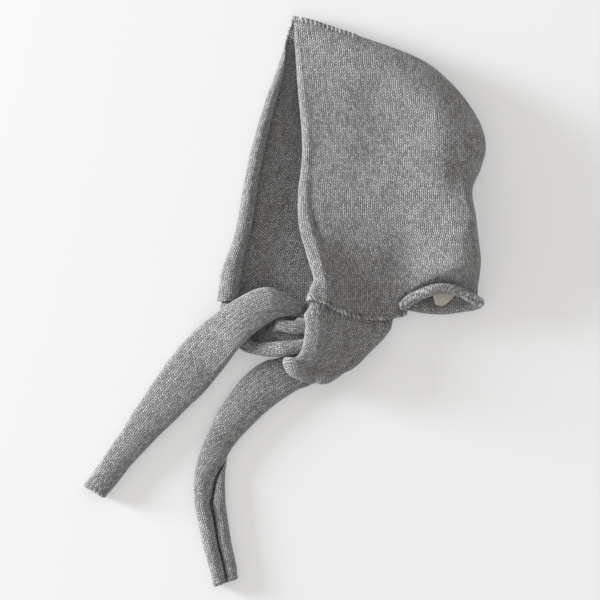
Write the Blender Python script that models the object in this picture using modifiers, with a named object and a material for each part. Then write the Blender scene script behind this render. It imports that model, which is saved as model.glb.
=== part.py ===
import math

import bmesh
import bpy
import numpy as np
from mathutils import Vector
from mathutils.bvhtree import BVHTree

# A baby bonnet lying on its left side with its two ties in a half knot. Metres, Z up. The origin is on the
# resting plane under the middle of the hood; +Y runs from the neck edge up to the point of the hood, and +X
# from the face opening to the back of the head.
HOOD_DEPTH = 0.140      # front edge of the upper half to the back fold, across the head
HOOD_HEIGHT = 0.220     # chin seam to the point of the hood
HOOD_LOFT = 0.040       # how far the hood stands off the surface at its fullest
WALL = 0.0022           # the knitted fabric
FRONT_ROLL = 0.0055     # radius of the curled front edge
NECK_ROLL = 0.0046      # radius of the curled neck edge
FOLD_REACH = 0.030      # how far in from the back fold the upper half has rounded over
FLOOR_REACH = 0.020     # how far in from the back fold the lower half meets the surface
SEAM_ALLOWANCE = 0.002
TIE_WIDTH = 0.036       # a tie at its widest, lying with both edges curled under
NEAR_TAIL = 0.175       # knot to end of the upper half's tie
FAR_TAIL = 0.194        # knot to end of the lower half's tie
LABEL_WIDTH = 0.018
LABEL_LENGTH = 0.016
LABEL_THICKNESS = 0.001
GAP = 0.0003            # between pieces that are sewn together
REST = 0.0002           # a lying tie's lowest thread over the surface
TURN_EDGE = 0.09        # share of the strip next to each edge that dips into the groove where it turns over

# Each row is one cross-section of the hood, from the neck up to the point. x is a share of HOOD_DEPTH, y of
# HOOD_HEIGHT, the radii are shares of FRONT_ROLL, the heights shares of HOOD_LOFT, curl is how much of a
# full curl the front edges have and fold reach a share of FOLD_REACH.
# back x, back y, near edge x, near edge y, near roll, far edge x, far edge y, far roll, edge height,
# crown height, fold height, curl, fold reach
HOOD_ROWS = (
    (0.531, -0.291, -0.361, -0.344, 1.00, -0.854, -0.326, 1.53, 0.725, 0.775, 0.362, 1.00, 0.50),
    (0.525, -0.230, -0.393, -0.269, 1.00, -0.827, -0.262, 1.28, 0.700, 0.850, 0.375, 1.00, 0.50),
    (0.507, -0.135, -0.433, -0.188, 1.00, -0.793, -0.191, 1.19, 0.650, 0.938, 0.375, 1.00, 0.50),
    (0.486, -0.035, -0.449, -0.110, 1.00, -0.769, -0.110, 1.13, 0.600, 0.975, 0.350, 1.00, 0.50),
    (0.535, 0.039, -0.444, -0.035, 1.00, -0.751, -0.035, 1.08, 0.575, 1.000, 0.275, 1.00, 0.60),
    (0.563, 0.113, -0.431, 0.032, 1.00, -0.732, 0.032, 1.05, 0.562, 1.000, 0.300, 1.00, 0.70),
    (0.540, 0.181, -0.424, 0.092, 1.00, -0.712, 0.096, 1.04, 0.550, 1.000, 0.338, 1.00, 0.85),
    (0.474, 0.259, -0.424, 0.160, 1.00, -0.686, 0.163, 0.98, 0.525, 0.950, 0.350, 1.00, 1.00),
    (0.362, 0.347, -0.434, 0.230, 0.96, -0.657, 0.234, 0.94, 0.500, 0.850, 0.325, 1.00, 1.00),
    (0.206, 0.425, -0.450, 0.308, 0.91, -0.622, 0.308, 0.85, 0.450, 0.725, 0.275, 1.00, 1.00),
    (0.017, 0.475, -0.461, 0.379, 0.84, -0.588, 0.372, 0.77, 0.388, 0.550, 0.225, 0.90, 1.00),
    (-0.167, 0.514, -0.471, 0.443, 0.73, -0.558, 0.433, 0.68, 0.312, 0.400, 0.188, 0.70, 1.00),
    (-0.318, 0.548, -0.483, 0.500, 0.62, -0.537, 0.489, 0.57, 0.263, 0.300, 0.150, 0.45, 1.00),
    (-0.429, 0.571, -0.491, 0.542, 0.55, -0.527, 0.535, 0.51, 0.215, 0.225, 0.125, 0.20, 1.00),
)
POINT = (-0.513, 0.582, 0.105)

# The neck edge, from the near front edge round the nape to the far one. x is a share of HOOD_DEPTH, y of
# HOOD_HEIGHT, z of HOOD_LOFT; roll is how far the edge curls outwards, none where a tie is sewn on.
# x, y, z, roll
NEAR_NECK = (
    (-0.398, -0.417, 0.725, 0.00),
    (-0.334, -0.429, 0.685, 0.00),
    (-0.279, -0.450, 0.635, 0.00),
    (-0.223, -0.469, 0.575, 0.00),
    (-0.162, -0.481, 0.515, 0.00),
    (-0.084, -0.487, 0.445, 0.00),
    (-0.006, -0.486, 0.385, 0.00),
    (0.058, -0.479, 0.345, 0.40),
    (0.095, -0.457, 0.350, 0.90),
    (0.131, -0.433, 0.400, 1.00),
    (0.201, -0.404, 0.487, 1.00),
    (0.290, -0.391, 0.537, 1.00),
    (0.362, -0.394, 0.525, 1.00),
    (0.429, -0.404, 0.475, 1.00),
    (0.479, -0.420, 0.430, 1.00),
)
NAPE = (
    (0.504, -0.433, 0.338, 1.00),
)
FAR_NECK = (
    (0.482, -0.441, 0.225, 1.00),
    (0.401, -0.449, 0.190, 1.00),
    (0.329, -0.454, 0.180, 1.00),
    (0.223, -0.450, 0.180, 1.00),
    (0.111, -0.438, 0.180, 1.00),
    (-0.084, -0.447, 0.180, 1.00),
    (-0.206, -0.457, 0.180, 1.00),
    (-0.284, -0.466, 0.198, 0.60),
    (-0.373, -0.474, 0.138, 0.30),
    (-0.462, -0.479, 0.000, 0.00),
    (-0.529, -0.473, 0.000, 0.00),
    (-0.685, -0.450, 0.000, 0.00),
    (-0.873, -0.420, 0.000, 0.00),
)

# Gentle dents and swells of the upper half: x share of HOOD_DEPTH, y share of HOOD_HEIGHT, radius across
# and along as shares of HOOD_DEPTH, depth share of HOOD_LOFT.
# name, x, y, radius x, radius y, depth
DENTS = (
    ("valley to the chin", 0.07, -0.42, 0.20, 0.42, -0.24),
    ("swell over the nape", 0.30, -0.22, 0.20, 0.30, 0.06),
    ("back fold", 0.42, 0.02, 0.08, 0.22, -0.09),
    ("cheek", -0.20, -0.10, 0.25, 0.40, 0.03),
)

# The sections of each tie, from its seam through the half knot. Every length is a share of TIE_WIDTH, and x
# and y count from the chin end of the front edge. turn is the way the section points in plan, fold how far
# the strip has folded over (0 knit side up, 180 knit side down), twist its roll about its own length. roll
# p and roll q are the radii of its two curled edges, flat their height as a share of their width, curl p
# and curl q the angles they turn through and arch the rise of the middle.
CHIN = (-0.440, -0.425)
# x, y, z, width, turn, fold, twist, roll p, roll q, flat, curl p, curl q, arch
NEAR_KNOT = (
    (0.970, -0.433, 0.581, 2.001, -10, 0, -14, 0.133, 0.100, 1.00, 150, 50, 0.033),
    (0.867, -0.693, 0.597, 1.789, -9, 0, -15, 0.122, 0.100, 1.00, 95, 90, 0.039),
    (0.693, -1.008, 0.617, 1.507, -10, 0, -15, 0.122, 0.100, 1.00, 90, 90, 0.039),
    (0.466, -1.327, 0.647, 1.241, -16, 0, -15, 0.122, 0.100, 1.00, 85, 90, 0.039),
    (0.200, -1.490, 0.642, 1.005, -26, 0, -14, 0.117, 0.100, 1.00, 75, 80, 0.044),
    (-0.030, -1.538, 0.656, 0.953, -35, 0, -7, 0.106, 0.100, 1.00, 80, 80, 0.044),
    (-0.152, -1.586, 0.589, 0.888, -41, 45, -4, 0.106, 0.106, 1.00, 70, 70, 0.050),
    (-0.186, -1.621, 0.456, 0.845, -42, 90, 0, 0.106, 0.106, 1.00, 60, 60, 0.050),
    (-0.152, -1.586, 0.322, 0.823, -42, 135, 0, 0.100, 0.100, 1.00, 60, 60, 0.039),
    (-0.035, -1.452, 0.269, 0.802, -36, 180, 0, 0.094, 0.094, 1.00, 70, 70, 0.000),
    (0.000, -1.235, 0.269, 0.715, -20, 180, 0, 0.089, 0.089, 1.00, 80, 80, 0.000),
    (0.011, -0.975, 0.269, 0.607, -5, 180, 0, 0.089, 0.089, 1.00, 80, 80, 0.000),
    (0.065, -0.737, 0.269, 0.498, 6, 180, 0, 0.089, 0.089, 1.00, 80, 80, 0.000),
    (0.108, -0.563, 0.275, 0.412, 14, 180, 3, 0.089, 0.089, 1.00, 80, 80, 0.000),
    (0.141, -0.423, 0.294, 0.358, 26, 180, 16, 0.086, 0.086, 1.00, 75, 75, 0.000),
    (0.152, -0.303, 0.328, 0.314, 44, 180, 48, 0.083, 0.083, 1.00, 70, 70, 0.000),
    (0.115, -0.221, 0.378, 0.293, 64, 180, 98, 0.083, 0.083, 1.00, 70, 70, 0.000),
    (0.028, -0.173, 0.433, 0.282, 80, 180, 148, 0.083, 0.083, 1.00, 80, 80, 0.000),
    (-0.113, -0.171, 0.494, 0.287, -86, 0, -2, 0.089, 0.089, 1.00, 130, 130, 0.017),
    (-0.273, -0.135, 0.556, 0.408, -84, 0, -2, 0.103, 0.103, 1.00, 180, 180, 0.028),
    (-0.486, -0.087, 0.614, 0.557, -81, 0, -1, 0.117, 0.117, 1.00, 230, 230, 0.033),
    (-0.720, -0.068, 0.644, 0.701, -78, 0, -1, 0.122, 0.122, 1.00, 250, 250, 0.033),
    (-0.964, -0.142, 0.639, 0.807, -74, 0, 0, 0.122, 0.122, 1.00, 250, 250, 0.033),
    (-1.208, -0.281, 0.624, 0.843, -68, 0, 1, 0.122, 0.122, 1.00, 250, 250, 0.033),
    (-1.459, -0.453, 0.583, 0.875, -61, 0, 3, 0.122, 0.122, 1.00, 250, 250, 0.033),
)
FAR_KNOT = (
    (-1.094, -0.466, 0.006, 1.498, 177, 180, 0, 0.089, 0.211, 0.63, 30, 240, 0.000),
    (-1.100, -0.655, 0.033, 1.156, -170, 180, 0, 0.089, 0.194, 0.63, 50, 240, 0.000),
    (-1.008, -0.818, 0.111, 0.926, -145, 180, 0, 0.094, 0.178, 0.66, 55, 240, 0.000),
    (-0.829, -0.867, 0.250, 0.724, -112, 180, 0, 0.117, 0.172, 0.70, 120, 240, 0.000),
    (-0.547, -0.827, 0.378, 0.814, -83, 180, 0, 0.150, 0.181, 0.72, 225, 240, 0.000),
    (-0.303, -0.832, 0.400, 0.771, -90, 180, 0, 0.158, 0.181, 0.72, 240, 240, 0.000),
    (0.000, -0.810, 0.408, 0.719, -90, 180, 0, 0.158, 0.178, 0.70, 240, 240, 0.000),
    (0.271, -0.807, 0.411, 0.661, -88, 180, 0, 0.144, 0.167, 0.68, 240, 240, 0.000),
    (0.412, -0.823, 0.383, 0.715, -80, 135, 0, 0.128, 0.139, 0.80, 240, 240, 0.000),
    (0.455, -0.845, 0.328, 0.737, -70, 90, 0, 0.122, 0.122, 0.90, 240, 240, 0.000),
    (0.412, -0.888, 0.272, 0.780, -60, 45, 0, 0.117, 0.117, 0.95, 240, 240, 0.000),
    (0.303, -0.986, 0.244, 0.823, -50, 0, 0, 0.117, 0.117, 1.00, 250, 250, 0.000),
    (0.043, -1.246, 0.244, 0.867, -44, 0, 0, 0.117, 0.117, 1.00, 250, 250, 0.000),
    (-0.260, -1.555, 0.244, 0.882, -43, 0, 0, 0.117, 0.117, 1.00, 250, 250, 0.011),
)
# The free ends: x and y are shares of the tail's length from the last section of the knot. None as z is a
# section that lies on the surface.
# x, y, z, width, turn, fold, twist, roll p, roll q, flat, curl p, curl q, arch
NEAR_TAIL_ROWS = (
    (-0.055, -0.045, 0.493, 0.918, -54, 0, 6, 0.122, 0.122, 1.00, 250, 250, 0.033),
    (-0.110, -0.101, 0.372, 1.020, -52, 0, 5, 0.122, 0.122, 1.00, 250, 250, 0.033),
    (-0.169, -0.165, 0.281, 1.050, -46, 0, 2, 0.122, 0.122, 1.00, 250, 250, 0.033),
    (-0.228, -0.239, None, 1.039, -43, 0, 0, 0.122, 0.122, 1.00, 250, 250, 0.033),
    (-0.286, -0.306, None, 0.971, -41, 0, 0, 0.122, 0.122, 1.00, 250, 250, 0.033),
    (-0.343, -0.375, None, 0.885, -40, 0, 0, 0.122, 0.122, 1.00, 250, 250, 0.033),
    (-0.402, -0.445, None, 0.780, -39, 0, 0, 0.122, 0.122, 1.00, 250, 250, 0.031),
    (-0.456, -0.515, None, 0.689, -37, 0, 0, 0.122, 0.122, 1.00, 250, 250, 0.028),
    (-0.510, -0.583, None, 0.619, -35, 0, 0, 0.122, 0.122, 1.00, 250, 250, 0.025),
    (-0.562, -0.654, None, 0.582, -35, 0, 0, 0.122, 0.122, 1.00, 250, 250, 0.019),
    (-0.608, -0.715, None, 0.556, -34, 0, 0, 0.122, 0.122, 1.00, 250, 250, 0.017),
    (-0.646, -0.763, None, 0.525, -31, 0, 0, 0.122, 0.122, 1.00, 250, 250, 0.014),
)
FAR_TAIL_ROWS = (
    (-0.042, -0.012, None, 0.920, -43, 0, 0, 0.117, 0.117, 1.00, 250, 250, 0.022),
    (-0.088, -0.038, None, 0.928, -46, 0, 0, 0.117, 0.117, 1.00, 250, 250, 0.028),
    (-0.133, -0.071, None, 0.905, -48, 0, 0, 0.117, 0.117, 1.00, 250, 250, 0.033),
    (-0.173, -0.108, None, 0.873, -50, 0, 0, 0.117, 0.117, 1.00, 250, 250, 0.033),
    (-0.210, -0.150, None, 0.828, -50, 0, 0, 0.117, 0.117, 1.00, 250, 250, 0.033),
    (-0.244, -0.191, None, 0.765, -49, 0, 0, 0.117, 0.117, 1.00, 250, 250, 0.033),
    (-0.273, -0.232, None, 0.685, -44, 0, 0, 0.117, 0.117, 1.00, 250, 250, 0.028),
)
# Below these the strip has turned over: its two edges, which meet in a gap underneath, come round the right
# side to the top. gap is where they meet, from 0 underneath through -90 at the right to -180 on top, and
# groove how deep they dip there.
# x, y, width, turn, height, gap, groove
FAR_TURN_ROWS = (
    (-0.284, -0.253, 0.643, -39, 0.256, -14, 0.022),
    (-0.297, -0.275, 0.612, -33, 0.256, -34, 0.028),
    (-0.309, -0.300, 0.600, -27, 0.256, -62, 0.033),
    (-0.319, -0.325, 0.612, -21, 0.256, -92, 0.039),
    (-0.326, -0.354, 0.630, -17, 0.256, -118, 0.044),
    (-0.333, -0.385, 0.650, -13, 0.256, -138, 0.050),
    (-0.337, -0.417, 0.665, -9, 0.256, -153, 0.056),
    (-0.339, -0.450, 0.672, -5, 0.256, -162, 0.058),
    (-0.339, -0.484, 0.680, -1, 0.256, -167, 0.061),
)
# From there to the end the purl side is up and the two curled edges lie side by side as two tubes.
# x, y, z, width, turn, fold, twist, roll p, roll q, flat, curl p, curl q, arch
FAR_END_ROWS = (
    (-0.337, -0.532, None, 0.672, 3, 0, 180, 0.147, 0.172, 0.76, 245, 245, 0.000),
    (-0.330, -0.572, None, 0.654, 4, 0, 180, 0.142, 0.172, 0.76, 250, 250, 0.000),
    (-0.321, -0.626, None, 0.633, 7, 0, 180, 0.136, 0.167, 0.77, 255, 255, 0.000),
    (-0.310, -0.689, None, 0.615, 9, 0, 180, 0.133, 0.161, 0.79, 260, 255, 0.000),
    (-0.295, -0.750, None, 0.598, 11, 0, 180, 0.131, 0.156, 0.81, 260, 260, 0.000),
    (-0.281, -0.806, None, 0.581, 14, 0, 180, 0.128, 0.150, 0.83, 265, 260, 0.000),
    (-0.274, -0.849, None, 0.568, 19, 0, 180, 0.128, 0.144, 0.84, 265, 265, 0.000),
)

EDGE_STEPS = 6
NEAR_STEPS = 12
FOLD_STEPS = 3
FAR_STEPS = 10
NECK_STEPS = 5
FULL_CURL = 270
TIE_EDGE_STEPS = 5
TIE_STEPS = 4


def smooth(a, b, t):
    t = min(1.0, max(0.0, (t - a) / (b - a)))
    return t * t * (3 - 2 * t)


def dent_height(x, y):
    total = 0.0
    for _, cx, cy, rx, ry, depth in DENTS:
        d = ((x / HOOD_DEPTH - cx) / rx) ** 2 + ((y / HOOD_HEIGHT - cy) * HOOD_HEIGHT / HOOD_DEPTH / ry) ** 2
        total += depth * HOOD_LOFT * math.exp(-d * 1.5)
    return total


def arc(centre, across, up, radius, height, angles):
    """Points of an ellipse's arc: 0 is the top, 90 the outward side."""
    return [centre + across * radius * math.sin(math.radians(a)) + up * height * math.cos(math.radians(a))
            for a in angles]


def edge_angles(full, steps):
    return [full * (steps - i) / steps for i in range(steps)]


def hood_section(row):
    bx, by, nx, ny, nr, fx, fy, fr, edge, crown, fold, curl, reach = row
    back = np.array((bx * HOOD_DEPTH, by * HOOD_HEIGHT, 0.0))
    near = np.array((nx * HOOD_DEPTH, ny * HOOD_HEIGHT, 0.0))
    far = np.array((fx * HOOD_DEPTH, fy * HOOD_HEIGHT, 0.0))
    nr, fr = nr * FRONT_ROLL, fr * FRONT_ROLL
    edge, crown, fold = edge * HOOD_LOFT, crown * HOOD_LOFT, fold * HOOD_LOFT
    up = np.array((0.0, 0.0, 1.0))
    span = np.linalg.norm(back - near)
    turn = min(FOLD_REACH * reach, 0.33 * span) / span
    outward = (near - back) / span
    angles = edge_angles(FULL_CURL * curl, EDGE_STEPS)
    points = arc(near + up * (edge - nr), outward, up, nr, nr, angles)

    def height(a):
        rise = math.sin(min(1.0, a / 0.62) * math.pi / 2) ** 1.3
        p = near + (back - near) * a
        return edge + (crown - edge) * rise + dent_height(p[0], p[1]) * smooth(0, 0.2, a)
    for i in range(NEAR_STEPS):
        a = (1 - turn) * i / NEAR_STEPS
        points.append(near + (back - near) * a + up * height(a))
    brow = height(1 - turn)
    for i in range(FOLD_STEPS):
        q = math.pi / 2 * i / FOLD_STEPS
        a = 1 - turn + turn * math.sin(q)
        points.append(near + (back - near) * a + up * (fold + (brow - fold) * math.cos(q)))
    low = min(FLOOR_REACH, 0.33 * span) / np.linalg.norm(back - far)
    for i in range(FOLD_STEPS):
        q = math.pi / 2 * i / FOLD_STEPS
        a = 1 - low + low * math.cos(q)
        points.append(far + (back - far) * a + up * fold * (1 - math.sin(q)))
    for i in range(FAR_STEPS + 1):
        points.append(far + (back - far) * (1 - low) * (1 - i / FAR_STEPS))
    far_height = min(fr, FRONT_ROLL)
    away = (far - back) / np.linalg.norm(far - back)
    rise = [180 - a for a in reversed(angles)]
    points += arc(far + up * far_height, away, up, fr, far_height, rise)
    return np.array(points)


def along(table, shares):
    pts = np.array([(x * HOOD_DEPTH, y * HOOD_HEIGHT, z * HOOD_LOFT, roll) for x, y, z, roll in table])
    steps = np.linalg.norm(np.diff(pts[:, :3], axis=0), axis=1)
    at = np.concatenate(((0,), np.cumsum(steps))) / steps.sum()
    return np.array([[np.interp(s, at, pts[:, k]) for k in range(4)] for s in shares])


def neck_section(first):
    """The neck edge's points, one for each column of the section above it, with the roll at each."""
    near = along(NEAR_NECK + NAPE, [i / (NEAR_STEPS + FOLD_STEPS) for i in range(NEAR_STEPS + FOLD_STEPS)])
    far = along(NAPE + FAR_NECK, [i / (FAR_STEPS + FOLD_STEPS) for i in range(FAR_STEPS + FOLD_STEPS + 1)])
    start, end = near[0], far[-1]
    bodies = [np.append(p + (start[:3] - first[EDGE_STEPS]), 0.0) for p in first[:EDGE_STEPS]]
    tail = [np.append(p + (end[:3] - first[-EDGE_STEPS - 1]), 0.0) for p in first[-EDGE_STEPS:]]
    return np.array(bodies + list(near) + list(far) + tail)


def neck_curl(above, neck):
    """Rows beyond the neck edge: a short seam allowance, or the edge's roll where no tie is sewn on."""
    rows = []
    count = len(neck)
    outward = []
    for j in range(count):
        a, b = neck[max(0, j - 1), :3], neck[min(count - 1, j + 1), :3]
        along_edge = (b - a) / np.linalg.norm(b - a)
        down = neck[j, :3] - above[j]
        down -= along_edge * down.dot(along_edge)
        down /= np.linalg.norm(down)
        outward.append((down, np.cross(down, along_edge)))
    inner = NECK_ROLL - WALL
    for k in range(1, NECK_STEPS + 1):
        row = []
        for j in range(count):
            roll = neck[j, 3]
            down, out = outward[j]
            length = (1 - roll) * SEAM_ALLOWANCE + roll * inner * math.radians(280)
            angle = math.radians(280) * roll
            s = length * k / NECK_STEPS
            if angle < 0.01:
                row.append(neck[j, :3] + down * s)
                continue
            r = length / angle
            q = s / r
            row.append(neck[j, :3] + down * r * math.sin(q) + out * r * (1 - math.cos(q)))
        rows.append(np.array(row))
    return rows


def grid_object(name, rows, point=None):
    """An open surface through rows of points, given its wall by Solidify on the side away from the knit."""
    mesh = bmesh.new()
    verts = [[mesh.verts.new(p) for p in row] for row in rows]
    for a, b in zip(verts, verts[1:]):
        for j in range(len(a) - 1):
            mesh.faces.new((b[j], b[j + 1], a[j + 1], a[j]))
    if point is not None:
        tip = mesh.verts.new(point)
        for a, b in zip(verts[0], verts[0][1:]):
            mesh.faces.new((tip, a, b))
    data = bpy.data.meshes.new(name)
    mesh.to_mesh(data)
    mesh.free()
    obj = bpy.data.objects.new(name, data)
    collection.objects.link(obj)
    wall = obj.modifiers.new("wall", "SOLIDIFY")
    wall.thickness = WALL
    wall.offset = -1
    wall.use_even_offset = False
    return obj


def make_hood():
    sections = [hood_section(row) for row in HOOD_ROWS]
    neck = neck_section(sections[0])
    first = sections[0]
    between = neck[:, :3] * 0.5 + first * 0.5
    between[:, 2] = neck[:, 2] * 0.45 + first[:, 2] * 0.55
    curl = neck_curl(between, neck)
    rows = list(reversed(sections)) + [between, neck[:, :3]] + curl
    point = (POINT[0] * HOOD_DEPTH, POINT[1] * HOOD_HEIGHT, POINT[2] * HOOD_LOFT)
    sewn = neck[:, 3] == 0
    near_end = int(np.argmin(sewn))
    far_end = int(np.argmin(sewn[::-1]))
    edge = curl[-1]
    return grid_object("hood", rows, point), seam(edge[:near_end]), seam(edge[::-1][:far_end])[::-1]


def seam(edge):
    """A tie's first section: the hood's sewn edge, from the curled front edge to the seam's end."""
    front, wall = edge[:EDGE_STEPS + 1], edge[EDGE_STEPS:]
    first = [i / TIE_EDGE_STEPS for i in range(TIE_EDGE_STEPS)]
    rest = [0.88 * i / TIE_STEPS for i in range(TIE_STEPS + 1)]
    rest += [0.88 + 0.12 * (i + 1) / TIE_EDGE_STEPS for i in range(TIE_EDGE_STEPS)]
    points = np.concatenate((resample(front, first), resample(wall, rest)))
    return points - np.array((0.0, 4 * GAP, 0.0))


def resample(points, shares):
    steps = np.linalg.norm(np.diff(points, axis=0), axis=1)
    at = np.concatenate(((0,), np.cumsum(steps))) / steps.sum()
    return np.array([[np.interp(s, at, points[:, k]) for k in range(3)] for s in shares])


def tie_section(row, start, unit):
    x, y, z, width, turn, fold, twist, roll_p, roll_q, flat, curl_p, curl_q, arch = row
    width, roll_p, roll_q, arch = (v * TIE_WIDTH for v in (width, roll_p, roll_q, arch))
    turn, fold, twist = math.radians(turn), math.radians(fold), math.radians(twist)
    across = np.array((math.cos(turn), math.sin(turn), 0.0))
    ahead = np.array((math.sin(turn), -math.cos(turn), 0.0))
    up = np.array((0.0, 0.0, 1.0))
    knit = up * math.cos(fold) + ahead * math.sin(fold)
    across, knit = (across * math.cos(twist) + knit * math.sin(twist),
                    knit * math.cos(twist) - across * math.sin(twist))
    left = -width / 2 + roll_p
    right = width / 2 - roll_q
    flat_points = [(left - roll_p * math.sin(math.radians(a)),
                    -roll_p * flat * (1 - math.cos(math.radians(a))))
                   for a in edge_angles(curl_p, TIE_EDGE_STEPS)]
    for i in range(TIE_STEPS + 1):
        s = i / TIE_STEPS
        flat_points.append((left + (right - left) * s, arch * 4 * s * (1 - s)))
    flat_points += [(right + roll_q * math.sin(math.radians(a)),
                     -roll_q * flat * (1 - math.cos(math.radians(a))))
                    for a in reversed(edge_angles(curl_q, TIE_EDGE_STEPS))]
    points = np.array([across * q + knit * h for q, h in flat_points])
    points += np.array((start[0] + x * unit, start[1] + y * unit, 0.0))
    if z is None:
        points[:, 2] += REST - points[:, 2].min()
    else:
        points[:, 2] += z * TIE_WIDTH
    return points


def turned_section(row, start, unit):
    x, y, width, turn, height, gap, groove = row
    width, height, groove = width * TIE_WIDTH, height * TIE_WIDTH, groove * TIE_WIDTH
    across = np.array((math.cos(math.radians(turn)), math.sin(math.radians(turn)), 0.0))
    shares = [0.01 + 0.34 * i / TIE_EDGE_STEPS for i in range(TIE_EDGE_STEPS)]
    shares += [0.35 + 0.30 * i / TIE_STEPS for i in range(TIE_STEPS + 1)]
    shares += [0.65 + 0.34 * (i + 1) / TIE_EDGE_STEPS for i in range(TIE_EDGE_STEPS)]
    points = []
    for share in shares:
        angle = math.radians(gap) + 2 * math.pi * share
        side = -width / 2 * math.copysign(abs(math.sin(angle)) ** 0.85, math.sin(angle))
        rise = height / 2 * (1 - math.copysign(abs(math.cos(angle)) ** 0.85, math.cos(angle)))
        near = math.exp(-(min(share, 1 - share) / TURN_EDGE) ** 2)
        side *= 1 - groove / width * near
        rise += (height / 2 - rise) / (height / 2) * groove * near
        side += math.copysign(0.25 * groove * near, 0.5 - share) * -math.cos(math.radians(gap))
        points.append(across * side + np.array((0.0, 0.0, rise)))
    points = np.array(points) + np.array((start[0] + x * unit, start[1] + y * unit, 0.0))
    points[:, 2] += REST - points[:, 2].min()
    return points


def make_tie(name, sewn, knot, tail, length, turned=(), end=()):
    chin = (CHIN[0] * HOOD_DEPTH, CHIN[1] * HOOD_HEIGHT)
    sections = [sewn] + [tie_section(row, chin, TIE_WIDTH) for row in knot]
    x, y = knot[-1][0] * TIE_WIDTH + chin[0], knot[-1][1] * TIE_WIDTH + chin[1]
    sections += [tie_section(row, (x, y), length) for row in tail]
    sections += [turned_section(row, (x, y), length) for row in turned]
    sections += [tie_section(row, (x, y), length) for row in end]
    return grid_object(name, sections)


def make_label(hood):
    """A bare tab of cloth sewn inside the neck edge, its free end low between the two layers."""
    data = bmesh.new()
    x, y = 0.345 * HOOD_DEPTH, -0.443 * HOOD_HEIGHT
    roof = BVHTree.FromObject(hood, bpy.context.evaluated_depsgraph_get())
    spots = [Vector((x + LABEL_WIDTH * s, y + LABEL_LENGTH * t, 0.3 * HOOD_LOFT))
             for s in (-0.5, -0.2, 0.1, 0.3, 0.5) for t in (0.6, 0.8, 1)]
    high = min(roof.ray_cast(spot, Vector((0, 0, 1)))[0].z for spot in spots) - GAP - LABEL_THICKNESS
    low = high - 0.35 * LABEL_LENGTH
    corners = ((x - LABEL_WIDTH / 2, y), (x + LABEL_WIDTH / 2, y - 0.002),
               (x + LABEL_WIDTH / 2, y + LABEL_LENGTH), (x - LABEL_WIDTH / 2, y + LABEL_LENGTH))
    heights = (low, low, high, high)
    bottom = [data.verts.new((cx, cy, h)) for (cx, cy), h in zip(corners, heights)]
    top = [data.verts.new((cx, cy, h + LABEL_THICKNESS)) for (cx, cy), h in zip(corners, heights)]
    data.faces.new(list(reversed(bottom)))
    data.faces.new(top)
    for i in range(4):
        j = (i + 1) % 4
        data.faces.new((bottom[i], bottom[j], top[j], top[i]))
    mesh = bpy.data.meshes.new("label")
    data.to_mesh(mesh)
    data.free()
    obj = bpy.data.objects.new("label", mesh)
    collection.objects.link(obj)
    return obj


def coat(obj, name, colour, roughness):
    material = bpy.data.materials.new(name)
    material.use_nodes = True
    shader = material.node_tree.nodes["Principled BSDF"]
    shader.inputs["Base Color"].default_value = (*colour, 1.0)
    shader.inputs["Roughness"].default_value = roughness
    obj.data.materials.append(material)


for old in list(bpy.data.objects):
    bpy.data.objects.remove(old)
collection = bpy.data.collections.new("baby_bonnet")
bpy.context.scene.collection.children.link(collection)

hood, near_seam, far_seam = make_hood()
near_tie = make_tie("near_tie", near_seam, NEAR_KNOT, NEAR_TAIL_ROWS, NEAR_TAIL)
far_tie = make_tie("far_tie", far_seam, FAR_KNOT, FAR_TAIL_ROWS, FAR_TAIL, FAR_TURN_ROWS, FAR_END_ROWS)
label = make_label(hood)
coat(hood, "hood_knit", (0.27, 0.27, 0.265), 0.95)
coat(near_tie, "near_tie_knit", (0.27, 0.27, 0.265), 0.95)
coat(far_tie, "far_tie_knit", (0.27, 0.27, 0.265), 0.95)
coat(label, "label_cloth", (0.62, 0.58, 0.50), 0.9)
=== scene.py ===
import math

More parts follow.
